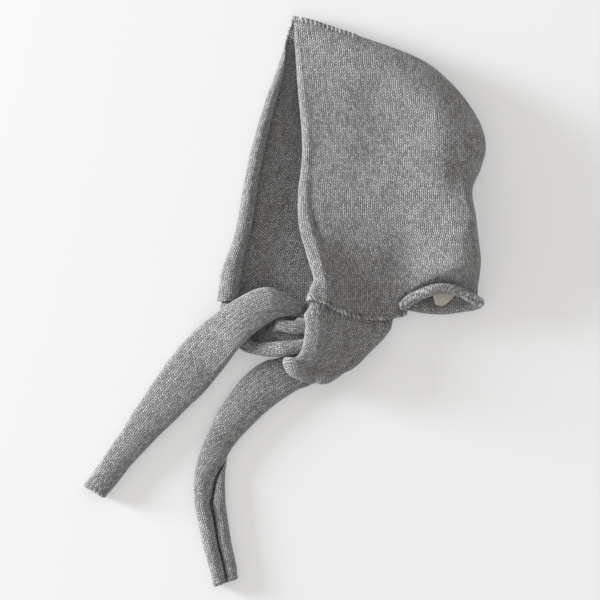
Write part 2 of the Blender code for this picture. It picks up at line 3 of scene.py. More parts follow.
import bpy
import numpy as np
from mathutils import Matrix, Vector


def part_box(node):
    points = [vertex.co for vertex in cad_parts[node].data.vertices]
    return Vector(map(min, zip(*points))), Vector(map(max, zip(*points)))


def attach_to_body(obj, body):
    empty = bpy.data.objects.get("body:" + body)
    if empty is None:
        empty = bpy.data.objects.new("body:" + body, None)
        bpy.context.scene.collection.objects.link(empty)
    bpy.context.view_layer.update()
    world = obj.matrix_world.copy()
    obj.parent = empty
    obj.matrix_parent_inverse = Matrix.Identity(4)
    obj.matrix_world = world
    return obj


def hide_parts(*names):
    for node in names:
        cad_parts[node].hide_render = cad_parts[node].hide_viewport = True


# The looks of a knitted baby bonnet that lies on its side with its ties in a half knot. Metres, Z up.
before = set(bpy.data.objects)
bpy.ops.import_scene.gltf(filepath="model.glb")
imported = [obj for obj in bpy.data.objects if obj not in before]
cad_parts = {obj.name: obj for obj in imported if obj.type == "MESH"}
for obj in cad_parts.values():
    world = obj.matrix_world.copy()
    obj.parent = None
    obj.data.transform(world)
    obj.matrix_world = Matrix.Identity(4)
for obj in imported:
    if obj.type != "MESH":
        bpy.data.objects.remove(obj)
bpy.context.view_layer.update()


class Socket:
    # one shader socket, so that sums on sockets read as ordinary Python
    def __init__(self, tree, link=None):
        self.tree, self.link = tree, link

    def node(self, kind, settings=None, inputs=None, output=0):
        made = self.tree.nodes.new("ShaderNode" + kind)
        for name, value in (settings or {}).items():
            if name == "stops":  # a ramp's (position, colour) pairs
                for element, (at, colour) in zip(made.color_ramp.elements, value):
                    element.position, element.color = at, colour
            else:
                setattr(made, name, value)
        for name, value in (inputs or {}).items():
            if isinstance(value, Socket):
                self.tree.links.new(value.link, made.inputs[name])
            else:
                made.inputs[name].default_value = value
        return Socket(self.tree, made.outputs[output])

    def maths(self, operation, *values):
        vector = any(isinstance(v, tuple) or isinstance(v, Socket) and v.link.type != "VALUE" for v in values)
        if vector:
            values = [v if isinstance(v, (tuple, Socket)) else (v, v, v) for v in values]
        return self.node("VectorMath" if vector else "Math", {"operation": operation}, dict(enumerate(values)))

    def blend(self, a, b):
        # this socket as the factor between two colours
        return self.node("Mix", {"data_type": "RGBA"}, {0: self, 6: a, 7: b}, output=2)

    def __add__(self, other):
        return self.maths("ADD", self, other)

    def __radd__(self, other):
        return self.maths("ADD", other, self)

    def __sub__(self, other):
        return self.maths("SUBTRACT", self, other)

    def __rsub__(self, other):
        return self.maths("SUBTRACT", other, self)

    def __mul__(self, other):
        return self.maths("MULTIPLY", self, other)

    def __rmul__(self, other):
        return self.maths("MULTIPLY", other, self)

    def __abs__(self):
        return self.maths("ABSOLUTE", self)


def newFinish(name):
    material = bpy.data.materials.new(name)
    material.use_nodes = True
    shader = material.node_tree.nodes["Principled BSDF"]
    return material, shader, Socket(material.node_tree)


def attach(socket, shader, name):
    socket.tree.links.new(socket.link, shader.inputs[name])


# The yarn and its stitches, which every knitted finish follows.
yarn = {
    "wale": 0.00317,  # between two columns of stitches
    "course": 0.0022,  # between two rows of stitches
    "slant": 1.6,  # how far a stitch's legs rise from the middle of the wale to its edge, in courses
    "dark": (0.080, 0.067, 0.056, 1.0),
    "light": (0.62, 0.645, 0.675, 1.0),
    # groove is painted shade: this dark colour fills the gaps between the legs and rows of stitches
    "groove": (0.046, 0.036, 0.027, 1.0),
    "bump": 0.0009,  # height of a stitch
    "stitchTone": 0.38,  # how far the tone varies from stitch to stitch, along the fibres and in clouds
    "fibreTone": 1.6,
    "cloudTone": 0.2,
    "toneShift": 0.59,
    "swayScale": 0.25,
    "fibreScale": 3.6,
    "cloudScale": 0.12,
    "roughness": 0.95,
    "shine": 0.2,
    "sheen": 0.3,
    "sheenSpread": 0.45,
    "sheenTint": (0.92, 0.95, 1.0, 1.0),
}


def knitFinish(name, purl=False, lift=0.0, paintedShade=0.0):
    # lift takes part of the painted groove shade away with light yarn; the last argument shifts the whole yarn
    # darker as painted shade, and lighter, as painted light, when it is negative
    material, shader, start = newFinish(name)
    coords = start.node("UVMap", {"uv_map": "Knit"})
    flatNoise = {"noise_dimensions": "2D"}
    sway = start.node("TexNoise", flatNoise, {"Vector": coords, "Scale": yarn["swayScale"], "Detail": 2.0}, 1)
    place = coords + (sway - (0.5, 0.5, 0.5)) * (0.5, 0.8, 0.0)
    split = start.node("SeparateXYZ", None, {0: place})
    wale = split
    course = Socket(start.tree, split.link.node.outputs[1])
    if purl:
        # the back of the knit: rows of arcs
        rise = course + wale.maths("SINE", wale * (2 * math.pi)) * 0.3
        inRow = wale.maths("FRACT", rise) * 2.0 - 1.0
        strand = 1.0 - inRow * inRow
        hump = 0.7 + 0.3 * wale.maths("COSINE", wale * (4 * math.pi))
        height = strand * hump
    else:
        # the face of the knit: two legs to a stitch, leaning apart as they rise
        across = abs(wale.maths("FRACT", wale) - 0.5)  # 0 in the middle of a wale, 0.5 in the groove
        rise = course - across * yarn["slant"]
        inRow = wale.maths("FRACT", rise) * 2.0 - 1.0
        offLeg = across * 4.0 - 1.0
        leg = 1.0 - offLeg * offLeg
        height = leg.maths("SQRT", leg) * (0.35 + 0.65 * (1.0 - inRow * inRow))
    cell = start.node("CombineXYZ", None, {0: wale.maths("FLOOR", wale * 2.0), 1: wale.maths("FLOOR", rise)})
    stitch = start.node("TexWhiteNoise", flatNoise, {"Vector": cell})
    fibre, cloud = (start.node("TexNoise", flatNoise, {"Vector": coords, "Scale": yarn[scale], "Detail": 3.0})
                    for scale in ("fibreScale", "cloudScale"))
    tone = stitch * yarn["stitchTone"] + fibre * yarn["fibreTone"] + cloud * yarn["cloudTone"]
    # painted shade: the last argument darkens the whole tone, and lightens it as painted light when negative
    tone = tone - yarn["toneShift"] - paintedShade
    ramp = start.node("ValToRGB", {"stops": ((0.0, yarn["dark"]), (1.0, yarn["light"]))}, {0: tone})
    # painted shade: where the stitch is low, between its legs and between rows, the colour turns to the dark
    # groove colour; lift takes part of this painted shade away
    colour = (height * 1.1 + lift).blend(yarn["groove"], ramp)
    attach(colour, shader, "Base Color")
    relief = height + fibre * 0.3
    bump = start.node("Bump", None, {"Strength": 1.0, "Distance": yarn["bump"], "Height": relief})
    attach(bump, shader, "Normal")
    for setting, value in (("Roughness", "roughness"), ("Specular IOR Level", "shine"),
                           ("Sheen Weight", "sheen"), ("Sheen Roughness", "sheenSpread"),
                           ("Sheen Tint", "sheenTint")):
        shader.inputs[setting].default_value = yarn[value]
    return material


# The hood's face is a darker copy of the ties' yarn: painted shade.
paintedShadeKnitFace = knitFinish("melange knit face", paintedShade=0.05)
knitBack = knitFinish("melange knit back", purl=True, lift=0.13)
# The neck roll's knit is a lighter copy of the yarn with less groove shade: painted light on the roll.
paintedLightRollKnit = knitFinish("melange knit roll with painted light", purl=True, lift=0.12, paintedShade=-0.13)
tieFace = knitFinish("melange knit face of the ties")


def smoothStep(a, b, t):
    t = np.clip((t - a) / (b - a), 0.0, 1.0)
    return t * t * (3 - 2 * t)


def refineRows(rows, step):
    # more rows on a smooth curve through the given ones, about a step apart
    rows = np.asarray(rows, dtype=float)
    gaps = np.linalg.norm(np.diff(rows[..., :3], axis=0), axis=-1)
    gaps = gaps.reshape(len(gaps), -1).mean(axis=1)
    at = np.concatenate(((0.0,), np.cumsum(gaps)))
    slope = np.gradient(rows, at, axis=0)
    fine = []
    for i, gap in enumerate(gaps):
        count = max(1, round(gap / step))
        for k in range(count):
            t = k / count
            fine.append((1 + 2 * t) * (1 - t) ** 2 * rows[i] + t * (1 - t) ** 2 * gap * slope[i]
                        + t * t * (3 - 2 * t) * rows[i + 1] + t * t * (t - 1) * gap * slope[i + 1])
    fine.append(rows[-1])
    return np.array(fine)


def shareOut(points, shares):
    # the points at the given shares of a path's length
    steps = np.linalg.norm(np.diff(points[:, :3], axis=0), axis=1)
    at = np.concatenate(((0.0,), np.cumsum(steps))) / steps.sum()
    return np.array([np.interp(shares, at, points[:, k]) for k in range(points.shape[1])]).T


def surfaceNormals(grid):
    along = np.gradient(grid, axis=0)
    across = np.gradient(grid, axis=1)
    normal = np.cross(across, along) * -1
    return normal / np.maximum(np.linalg.norm(normal, axis=2, keepdims=True), 1e-12)


def lumps(grid, size, seed, waves=7):
    # a soft unevenness, from -1 to 1, with lumps about as large as size
    rng = np.random.RandomState(seed)
    total = np.zeros(grid.shape[:2])
    for _ in range(waves):
        way = rng.normal(size=3)
        way /= np.linalg.norm(way)
        total += np.sin(grid @ way * (2 * math.pi / (size * rng.uniform(0.7, 1.5))) + rng.uniform(0, 7))
    return total / math.sqrt(waves * 2)


def clothPiece(name, grid, knit, wall, finishes, tip=False, knitFrom=None, split=None, rolled=0):
    # grid is rows of points and knit their wale and course; from column split on, knitFrom counts instead. The
    # last rolled rows take the second and third finish instead of the first and second.
    rows, columns = grid.shape[:2]
    if tip:
        verts = [tuple(grid[0, 0])] + [tuple(p) for p in grid[1:].reshape(-1, 3)]

        def at(i, j):
            return 0 if i == 0 else 1 + (i - 1) * columns + j
    else:
        verts = [tuple(p) for p in grid.reshape(-1, 3)]

        def at(i, j):
            return i * columns + j
    faces, uvs = [], []
    for i in range(rows - 1):
        for j in range(columns - 1):
            corners = [(i + 1, j), (i + 1, j + 1), (i, j + 1), (i, j)]
            if tip and i == 0:
                corners = [(0, j), (1, j), (1, j + 1)]
            count = knit if split is None or j < split else knitFrom
            faces.append([at(*c) for c in corners])
            uvs += [tuple(count[c]) for c in corners]
    mesh = bpy.data.meshes.new(name)
    mesh.from_pydata(verts, [], faces)
    for finish in finishes:
        mesh.materials.append(finish)
    layer = mesh.uv_layers.new(name="Knit")
    layer.data.foreach_set("uv", np.array(uvs, dtype=float).ravel())
    mesh.polygons.foreach_set("use_smooth", [True] * len(mesh.polygons))
    plain = (rows - 1 - rolled) * (columns - 1)
    mesh.polygons.foreach_set("material_index", [0 if k < plain else 1 for k in range(len(mesh.polygons))])
    piece = bpy.data.objects.new(name, mesh)
    bpy.context.scene.collection.objects.link(piece)
    shell = piece.modifiers.new("wall", "SOLIDIFY")
    shell.thickness = wall
    shell.offset = -1
    shell.use_even_offset = False
    shell.material_offset = 1
    return piece


hoodCut = {
    "depth": 0.140,  # front edge of the upper half to the back fold
    "height": 0.220,  # chin seam to the point
    "loft": 0.040,  # how far it stands off the surface
    "sag": 0.68,  # how much of the rise to the crown the cloth keeps
    "riseBy": 0.80,  # share of the way in where the crown is reached
    "riseShape": 1.6,  # above 1 the rise starts slowly
    "dentFall": 1.5,  # how steeply the dents fade out
    "wall": 0.0022,
    "frontRoll": 0.0055,  # radius of the curled front edge
    "neckRoll": 0.0046,  # radius of the curled neck edge
    "foldReach": 0.030,
    "floorReach": 0.020,
    "turnLimit": 0.33,  # and the largest share of the way across that either takes
    "seamAllowance": 0.002,
    "fullCurl": 270,  # degrees
    "neckCurl": 280,
    "rollMiddle": 0.040,  # x where the neck roll's stitches change their lean
    "rollLean": 0.25,
    "rowStep": 0.0013,  # between two rows of points
    "neckStep": 0.0015,
    "neckHeight": 0.45,  # the neck edge's share in the row above it
    "unevenness": 0.00045,
    "unevenSize": 0.045,
    "unevenSeed": 11,
    "floorFade": (0.002, 0.012),  # heights between which the unevenness and the welt grow to their full size
    "tipFade": 0.03,
}
hoodSteps = {"edge": 16, "near": 74, "fold": 12, "far": 58, "neck": 11}

# One cross-section of the hood to a row, from the neck up to the point. x is a share of the hood's depth, y
# of its height, the radii of the front roll, the heights of the loft, curl of a full curl and fold reach of
# the reach.
# back x, back y, near edge x, near edge y, near roll, far edge x, far edge y, far roll, edge height,
# crown height, fold height, curl, fold reach
hoodRows = (
    (0.531, -0.291, -0.361, -0.344, 1.00, -0.854, -0.326, 1.53, 0.725, 0.762, 0.362, 1.00, 0.16),
    (0.525, -0.230, -0.393, -0.269, 1.00, -0.827, -0.262, 1.28, 0.700, 0.850, 0.375, 1.00, 0.16),
    (0.507, -0.135, -0.433, -0.188, 1.00, -0.793, -0.191, 1.19, 0.650, 0.925, 0.375, 1.00, 0.16),
    (0.486, -0.035, -0.449, -0.110, 1.00, -0.769, -0.110, 1.13, 0.600, 0.963, 0.350, 1.00, 0.25),
    (0.535, 0.039, -0.444, -0.035, 1.00, -0.751, -0.035, 1.08, 0.575, 1.000, 0.275, 1.00, 0.60),
    (0.563, 0.113, -0.431, 0.032, 1.00, -0.732, 0.032, 1.05, 0.562, 1.000, 0.300, 1.00, 0.70),
    (0.540, 0.181, -0.424, 0.092, 1.00, -0.712, 0.096, 1.04, 0.550, 1.000, 0.338, 1.00, 0.85),
    (0.474, 0.259, -0.424, 0.160, 1.00, -0.686, 0.163, 0.98, 0.525, 0.950, 0.350, 1.00, 1.00),
    (0.362, 0.347, -0.434, 0.230, 0.96, -0.657, 0.234, 0.94, 0.500, 0.850, 0.325, 1.00, 1.00),
    (0.206, 0.425, -0.450, 0.308, 0.91, -0.622, 0.308, 0.85, 0.450, 0.725, 0.275, 1.00, 1.00),
    (0.017, 0.475, -0.461, 0.379, 0.84, -0.588, 0.372, 0.77, 0.388, 0.550, 0.225, 0.90, 1.00),
    (-0.167, 0.514, -0.471, 0.443, 0.73, -0.558, 0.433, 0.68, 0.312, 0.400, 0.188, 0.70, 1.00),
    (-0.318, 0.548, -0.483, 0.500, 0.62, -0.537, 0.489, 0.57, 0.263, 0.300, 0.150, 0.45, 1.00),
    (-0.429, 0.571, -0.491, 0.542, 0.55, -0.527, 0.535, 0.51, 0.215, 0.225, 0.125, 0.20, 1.00),
)
hoodPoint = (-0.513, 0.582, 0.105)

# The neck edge from the near front edge round the nape to the far one: x, y and height as shares again, and
# roll, which is how far the edge curls outwards, none where a tie is sewn on.
nearNeck = (
    (-0.398, -0.417, 0.725, 0.00),
    (-0.334, -0.429, 0.685, 0.00),
    (-0.279, -0.450, 0.635, 0.00),
    (-0.223, -0.469, 0.575, 0.00),
    (-0.162, -0.481, 0.515, 0.00),
    (-0.084, -0.487, 0.445, 0.00),
    (-0.028, -0.487, 0.398, 0.00),
    (0.033, -0.484, 0.360, 0.00),
    (0.062, -0.480, 0.352, 0.00),
    (0.076, -0.466, 0.345, 0.45),
    (0.089, -0.450, 0.352, 0.85),
    (0.109, -0.435, 0.378, 1.00),
    (0.146, -0.415, 0.430, 1.00),
    (0.201, -0.394, 0.487, 1.00),
    (0.290, -0.375, 0.537, 1.00),
    (0.362, -0.378, 0.525, 1.00),
    (0.429, -0.393, 0.475, 1.00),
    (0.479, -0.415, 0.430, 1.00),
)
nape = ((0.504, -0.433, 0.338, 1.00),)
farNeck = (
    (0.482, -0.441, 0.225, 1.00),
    (0.401, -0.449, 0.190, 1.00),
    (0.329, -0.454, 0.180, 1.00),
    (0.223, -0.450, 0.180, 1.00),
    (0.111, -0.438, 0.180, 1.00),
    (-0.084, -0.447, 0.180, 1.00),
    (-0.206, -0.457, 0.180, 1.00),
    (-0.284, -0.466, 0.198, 0.60),
    (-0.373, -0.474, 0.138, 0.30),
    (-0.462, -0.479, 0.000, 0.00),
    (-0.529, -0.473, 0.000, 0.00),
    (-0.685, -0.450, 0.000, 0.00),
    (-0.873, -0.420, 0.000, 0.00),
)

# Dents and swells of the upper half: centre as shares of depth and height, radii as shares of the depth,
# and how far it rises as a share of the loft.
hoodDents = (
    ("slope down from the front edge", -0.10, -0.46, 0.27, 0.55, -0.26),
    ("valley to the chin", 0.11, -0.42, 0.15, 0.42, -0.19),
    ("swell over the nape", 0.44, -0.26, 0.18, 0.42, 0.19),
    ("back fold", 0.42, 0.04, 0.08, 0.20, -0.10),
    ("hollow behind the front edge", 0.03, 0.17, 0.25, 0.48, -0.12),
)


def dentHeight(x, y):
    total = 0.0
    for _, cx, cy, rx, ry, rise in hoodDents:
        d = ((x / hoodCut["depth"] - cx) / rx) ** 2
        d += ((y / hoodCut["height"] - cy) * hoodCut["height"] / hoodCut["depth"] / ry) ** 2
        total += rise * hoodCut["loft"] * np.exp(-d * hoodCut["dentFall"])
    return total


def arcPoints(centre, across, radius, height, angles):
    # an ellipse's arc: 0 is the top, 90 the outward side
    up = np.array((0.0, 0.0, 1.0))
    return [centre + across * radius * math.sin(math.radians(a)) + up * height * math.cos(math.radians(a))
            for a in angles]


def edgeAngles(full, steps):
    return [full * (steps - i) / steps for i in range(steps)]


def hoodSection(row):
    bx, by, nx, ny, nearRoll, fx, fy, farRoll, edge, crown, fold, curl, reach = row
    depth, high = hoodCut["depth"], hoodCut["height"]
    back = np.array((bx * depth, by * high, 0.0))
    near = np.array((nx * depth, ny * high, 0.0))
    far = np.array((fx * depth, fy * high, 0.0))
    nearRoll, farRoll = nearRoll * hoodCut["frontRoll"], farRoll * hoodCut["frontRoll"]
    edge, crown, fold = (v * hoodCut["loft"] for v in (edge, crown, fold))
    up = np.array((0.0, 0.0, 1.0))
    span = np.linalg.norm(back - near)
    turn = min(hoodCut["foldReach"] * reach, hoodCut["turnLimit"] * span) / span
    angles = edgeAngles(hoodCut["fullCurl"] * curl, hoodSteps["edge"])
    points = arcPoints(near + up * (edge - nearRoll), (near - back) / span, nearRoll, nearRoll, angles)

    def heightAt(a):
        rise = math.sin(min(1.0, a / hoodCut["riseBy"]) * math.pi / 2) ** hoodCut["riseShape"]
        p = near + (back - near) * a
        return edge + (crown - edge) * rise * hoodCut["sag"] + dentHeight(p[0], p[1]) * smoothStep(0, 0.2, a)

    for i in range(hoodSteps["near"]):
        a = (1 - turn) * i / hoodSteps["near"]
        points.append(near + (back - near) * a + up * heightAt(a))
    brow = heightAt(1 - turn)
    for i in range(hoodSteps["fold"]):
        q = math.pi / 2 * i / hoodSteps["fold"]
        points.append(near + (back - near) * (1 - turn + turn * math.sin(q))
                      + up * (fold + (brow - fold) * math.cos(q)))
    low = min(hoodCut["floorReach"], hoodCut["turnLimit"] * span) / np.linalg.norm(back - far)
    for i in range(hoodSteps["fold"]):
        q = math.pi / 2 * i / hoodSteps["fold"]
        points.append(far + (back - far) * (1 - low + low * math.cos(q)) + up * fold * (1 - math.sin(q)))
    for i in range(hoodSteps["far"] + 1):
        points.append(far + (back - far) * (1 - low) * (1 - i / hoodSteps["far"]))
    farHeight = min(farRoll, hoodCut["frontRoll"])
    away = (far - back) / np.linalg.norm(far - back)
    points += arcPoints(far + up * farHeight, away, farRoll, farHeight, [180 - a for a in reversed(angles)])
    return np.array(points)


def neckEdge(table, shares):
    scale = (hoodCut["depth"], hoodCut["height"], hoodCut["loft"], 1.0)
    fine = refineRows(np.array(table) * scale, hoodCut["neckStep"])
    fine[:, 3] = np.clip(fine[:, 3], 0.0, 1.0)
    return shareOut(fine, shares)


def neckSection(first):
    # the neck edge's points with the roll at each, one for each column of the section above it
    edge, near, fold, far = (hoodSteps[k] for k in ("edge", "near", "fold", "far"))
    upper = neckEdge(nearNeck + nape, [i / (near + fold) for i in range(near + fold)])
    lower = neckEdge(nape + farNeck, [i / (far + fold) for i in range(far + fold + 1)])
    start = [np.append(p + upper[0, :3] - first[edge], 0.0) for p in first[:edge]]
    end = [np.append(p + lower[-1, :3] - first[-edge - 1], 0.0) for p in first[-edge:]]
    return np.array(start + list(upper) + list(lower) + end)


def neckCurl(above, neck):
    # rows beyond the neck edge: a short seam allowance, or the roll where no tie is sewn on
    count = len(neck)
    frameOf = []
    for j in range(count):
        side = neck[min(count - 1, j + 1), :3] - neck[max(0, j - 1), :3]
        side /= np.linalg.norm(side)
        down = neck[j, :3] - above[j]
        down -= side * down.dot(side)
        down /= np.linalg.norm(down)
        frameOf.append((down, np.cross(down, side)))
    inner = hoodCut["neckRoll"] - hoodCut["wall"]
    full = math.radians(hoodCut["neckCurl"])
    rows = []
    for k in range(1, hoodSteps["neck"] + 1):
        row = []
        for j in range(count):
            roll = neck[j, 3]
            down, out = frameOf[j]
            length = (1 - roll) * hoodCut["seamAllowance"] + roll * inner * full
            s = length * k / hoodSteps["neck"]
            if full * roll < 0.01:
                row.append(neck[j, :3] + down * s)
                continue
            r = length / (full * roll)
            row.append(neck[j, :3] + down * r * math.sin(s / r) + out * r * (1 - math.cos(s / r)))
        rows.append(np.array(row))
    return rows


def edgeLine(column):
    # the x of a front edge at any y, from the hood's table
    ys = np.array([row[column + 1] for row in hoodRows]) * hoodCut["height"]
    xs = np.array([row[column] for row in hoodRows]) * hoodCut["depth"]
    return lambda y: np.interp(y, ys, xs)


def hoodKnit(grid):
    # wales run alongside each front edge; courses climb from the neck to the point
    edge, near, fold = hoodSteps["edge"], hoodSteps["near"], hoodSteps["fold"]
    steps = np.diff(grid, axis=1)
    extra = np.linalg.norm(steps, axis=2) - np.linalg.norm(steps[..., :2], axis=2)
    extra = np.concatenate((np.zeros((len(grid), 1)), np.cumsum(extra, axis=1)), axis=1)
    x, y = grid[..., 0], grid[..., 1]
    down = np.linalg.norm(np.diff(grid, axis=0), axis=2)
    down = np.concatenate((np.zeros((1, grid.shape[1])), np.cumsum(down, axis=0)))
    neckAt = len(grid) - 1 - hoodSteps["neck"]
    course = y.copy()
    course[neckAt:] = y[neckAt] - (down[neckAt:] - down[neckAt])
    lean = hoodCut["rollLean"] * np.tanh((x[neckAt] - hoodCut["rollMiddle"]) / 0.004)
    lean = lean * (down[neckAt:] - down[neckAt])
    curl = np.linalg.norm(steps, axis=2)
    curl = np.concatenate((np.zeros((len(grid), 1)), np.cumsum(curl, axis=1)), axis=1)
    counts = []
    for line, first, way in ((edgeLine(2), edge, 1), (edgeLine(5), -edge - 1, -1)):
        wale = (x - line(y)) + way * (extra - extra[:, [first]])
        curled = slice(0, first) if way > 0 else slice(first + 1, None)
        wale[:, curled] = (curl - curl[:, [first]])[:, curled] * way
        wale[neckAt:] = wale[neckAt] + lean
        counts.append(np.stack((wale / yarn["wale"] + 0.25, course / yarn["course"]), axis=2))
    return counts, edge + near + fold


# The band of cloth that stands up behind the near front edge, by y.
welt = {
    "at": (-0.095, -0.074, -0.047, -0.023, 0.000, 0.100),
    "reach": (0.0078, 0.0055, 0.0054, 0.0025, 0.0010, 0.0005),  # how far in from the roll its flat back goes
    "deep": (1.0, 0.9, 0.8, 0.4, 0.15, 0.0),  # how much of the valley follows it
    "start": 0.0004,
    "rise": 0.0019,
    "fullReach": 0.005,  # a narrower band rises less
    "valley": 0.0014,
    "valleyFrom": 0.0040,
    "valleyHalf": 0.0028,
    "top": 0.125,
    "topFade": 0.03,
    "tieReach": 0.0078,
    "tieRise": 0.0028,
}
ridge = {"rise": 0.0008, "from": 0.0034, "half": 0.0024, "tuck": 0.0008, "tuckHalf": 0.0016, "onRoll": 0.3}
overcast = {
    "from": 0.0022,  # how far the chain lies from the sewn edge
    "inside": 0.0022,  # and from the top fold
    "lift": 0.0008,
    "lowest": 0.0008,
    "graftRows": 32,
    "past": 4,  # columns that a chain goes on round the front edge
    "farColumns": 12,
    "evenOut": 3,  # times that the line is smoothed
    "pitch": 0.0034,
    "lean": 0.9,
    "radius": 0.0019,
    "thin": 0.45,  # share of the radius between two loops
    "spread": 1.15,
    "taper": 12,  # steps at each end
    "ring": 10,
    "step": 0.0004,
    "wall": 0.0005,
    "wale": (0.06, 0.38),  # the part of a stitch that the loops show: its start and width
    "course": 0.4,
}


def softBump(value, centre, reach):
    # a rounded bump of height 1, reach to either side of the centre
    return np.exp(-((value - centre) / reach) ** 2)


def weltRise(inward, reach, deep, rise):
    # a band behind an edge that climbs as it goes in, and the valley that follows it
    band = smoothStep(-0.3, 1.0, inward / reach) * (1 - smoothStep(0.6, 1.15, inward / (reach * 1.35 + 0.001)))
    valley = welt["valley"] * deep * softBump(inward, reach + welt["valleyFrom"], welt["valleyHalf"])
    return rise * np.minimum(1.0, reach / welt["fullReach"]) * band - valley


def hoodRelief(grid, knit):
    # the welt behind the near front edge, with the valley that follows it
    y = grid[..., 1]
    inward = knit[..., 0] * yarn["wale"] - welt["start"]
    reach = np.interp(y, welt["at"], welt["reach"])
    near = np.zeros(grid.shape[:2])
    near[:, :hoodSteps["edge"] + hoodSteps["near"]] = 1.0
    rise = weltRise(inward, reach, np.interp(y, welt["at"], welt["deep"]), welt["rise"])
    return rise * near * smoothStep(welt["top"], welt["top"] - welt["topFade"], y)


def clothLeft(grid):
    # how far down the cloth each point is from the neck's last row
    down = np.linalg.norm(np.diff(grid, axis=0), axis=2)
    return np.concatenate((np.cumsum(down[::-1], axis=0)[::-1], np.zeros((1, grid.shape[1]))))


def seamRidge(grid, sewn):
    # the cloth stands up a little just before each sewn edge
    left = clothLeft(grid)
    rise = ridge["rise"] * softBump(left, ridge["from"], ridge["half"])
    rise -= ridge["tuck"] * softBump(left, 0.0, ridge["tuckHalf"])
    share = sewn * 1.0
    share[:hoodSteps["edge"] + 1] *= ridge["onRoll"]
    share[-hoodSteps["edge"] - 1:] *= ridge["onRoll"]
    return rise * share[None, :]


def seamLine(grid, columns):
    # the points just before the sewn edge, each with its normal
    left, line, normals = clothLeft(grid), [], surfaceNormals(grid)
    for j in columns:
        row = int(np.argmin(np.abs(left[:, j] - overcast["from"])))
        line.append(np.concatenate((grid[row, j] + normals[row, j] * overcast["lift"], normals[row, j])))
    return np.array(line)


def graftLine(grid):
    # the points just inside the top fold, from the hood's point on, each with its normal
    first = hoodSteps["edge"] + hoodSteps["near"]
    last = first + hoodSteps["fold"]
    line, normals = [], surfaceNormals(grid)
    for i in range(2, overcast["graftRows"]):
        inside = np.linalg.norm(grid[i, first:last + 1, :2] - grid[i, last, :2], axis=1)
        j = first + int(np.argmin(np.abs(inside - overcast["inside"])))
        line.append(np.concatenate((grid[i, j], normals[i, j])))
    return np.array(line)


def stitchChain(name, line):
    # overcast stitches: a chain of leaning loops along a line
    for _ in range(overcast["evenOut"]):
        line[1:-1] = (line[:-2] + 2 * line[1:-1] + line[2:]) / 4
    total = np.linalg.norm(np.diff(line[:, :3], axis=0), axis=1).sum()
    count = int(total / overcast["step"])
    line = shareOut(line, np.linspace(0, 1, count))
    ahead = np.gradient(line[:, :3], axis=0)
    ahead /= np.linalg.norm(ahead, axis=1, keepdims=True)
    up = line[:, 3:] / np.linalg.norm(line[:, 3:], axis=1, keepdims=True)
    side = np.cross(up, ahead)
    ring, knit = [], []
    for k in range(overcast["ring"] + 1):
        turn = 2 * math.pi * k / overcast["ring"]
        at = np.arange(count) * overcast["step"] + overcast["lean"] * overcast["radius"] * math.cos(turn)
        loop = np.abs(np.sin(math.pi * at / overcast["pitch"]))
        taper = np.minimum(1.0, np.minimum(np.arange(count), np.arange(count)[::-1]) / overcast["taper"])
        radius = overcast["radius"] * (overcast["thin"] + (1 - overcast["thin"]) * loop) * np.sqrt(taper)
        ring.append(line[:, :3] + side * (radius * math.cos(turn) * overcast["spread"])[:, None]
                    + up * (radius * math.sin(turn) - (1 - taper) * overcast["radius"])[:, None])
        wale = overcast["wale"][0] + overcast["wale"][1] * k / overcast["ring"]
        knit.append(np.stack((np.full(count, wale), at / overcast["pitch"] + overcast["course"]), axis=1))
    grid = np.stack(ring, axis=1)[:, ::-1]
    grid[..., 2] = np.maximum(grid[..., 2], overcast["lowest"])
    return clothPiece(name, grid, np.stack(knit, axis=1)[:, ::-1], overcast["wall"], (paintedShadeKnitFace, paintedShadeKnitFace))


def makeHood():
    sections = [hoodSection(row) for row in hoodRows]
    neck = neckSection(sections[0])
    between = neck[:, :3] * 0.5 + sections[0] * 0.5
    between[:, 2] = neck[:, 2] * hoodCut["neckHeight"] + sections[0][:, 2] * (1 - hoodCut["neckHeight"])
    tip = np.array(hoodPoint) * (hoodCut["depth"], hoodCut["height"], hoodCut["loft"])
    rows = [np.tile(tip, (len(neck), 1))] + sections[::-1] + [between, neck[:, :3]]
    curl = neckCurl(between, neck)
    body = refineRows(rows + [curl[0]], hoodCut["rowStep"])
    grid = np.concatenate((body, np.array(curl[1:])))
    counts, split = hoodKnit(grid)
    sewn = neck[:, 3] < 0.001
    swell = lumps(grid, hoodCut["unevenSize"], hoodCut["unevenSeed"]) * hoodCut["unevenness"]
    swell += hoodRelief(grid, counts[0])
    fade = smoothStep(*hoodCut["floorFade"], grid[..., 2])
    fade *= smoothStep(0.0, hoodCut["tipFade"], np.linalg.norm(grid - tip, axis=2))
    grid = grid + surfaceNormals(grid) * (swell * fade + seamRidge(grid, sewn))[..., None]
    grid[..., 2] = np.maximum(grid[..., 2], 0.0)
    nearEnd, farEnd = int(np.argmin(sewn)), int(np.argmin(sewn[::-1]))
    piece = clothPiece("hood_knit_shell", grid, counts[0], hoodCut["wall"], (paintedShadeKnitFace, knitBack, paintedLightRollKnit),
                       tip=True, knitFrom=counts[1], split=split, rolled=hoodSteps["neck"])
    nearCorner, farCorner, past = hoodSteps["edge"], len(neck) - hoodSteps["edge"], overcast["past"]
    nearColumns = range(nearCorner - past, nearEnd)
    farColumns = range(farCorner - overcast["farColumns"], farCorner + past)
    seams = [stitchChain("near_seam_stitches", seamLine(grid, nearColumns)),
             stitchChain("far_seam_stitches", seamLine(grid, farColumns)),
             stitchChain("graft_stitches", graftLine(grid))]
    return piece, seams, sewnEdge(curl[-1][:nearEnd]), sewnEdge(curl[-1][::-1][:farEnd])[::-1]


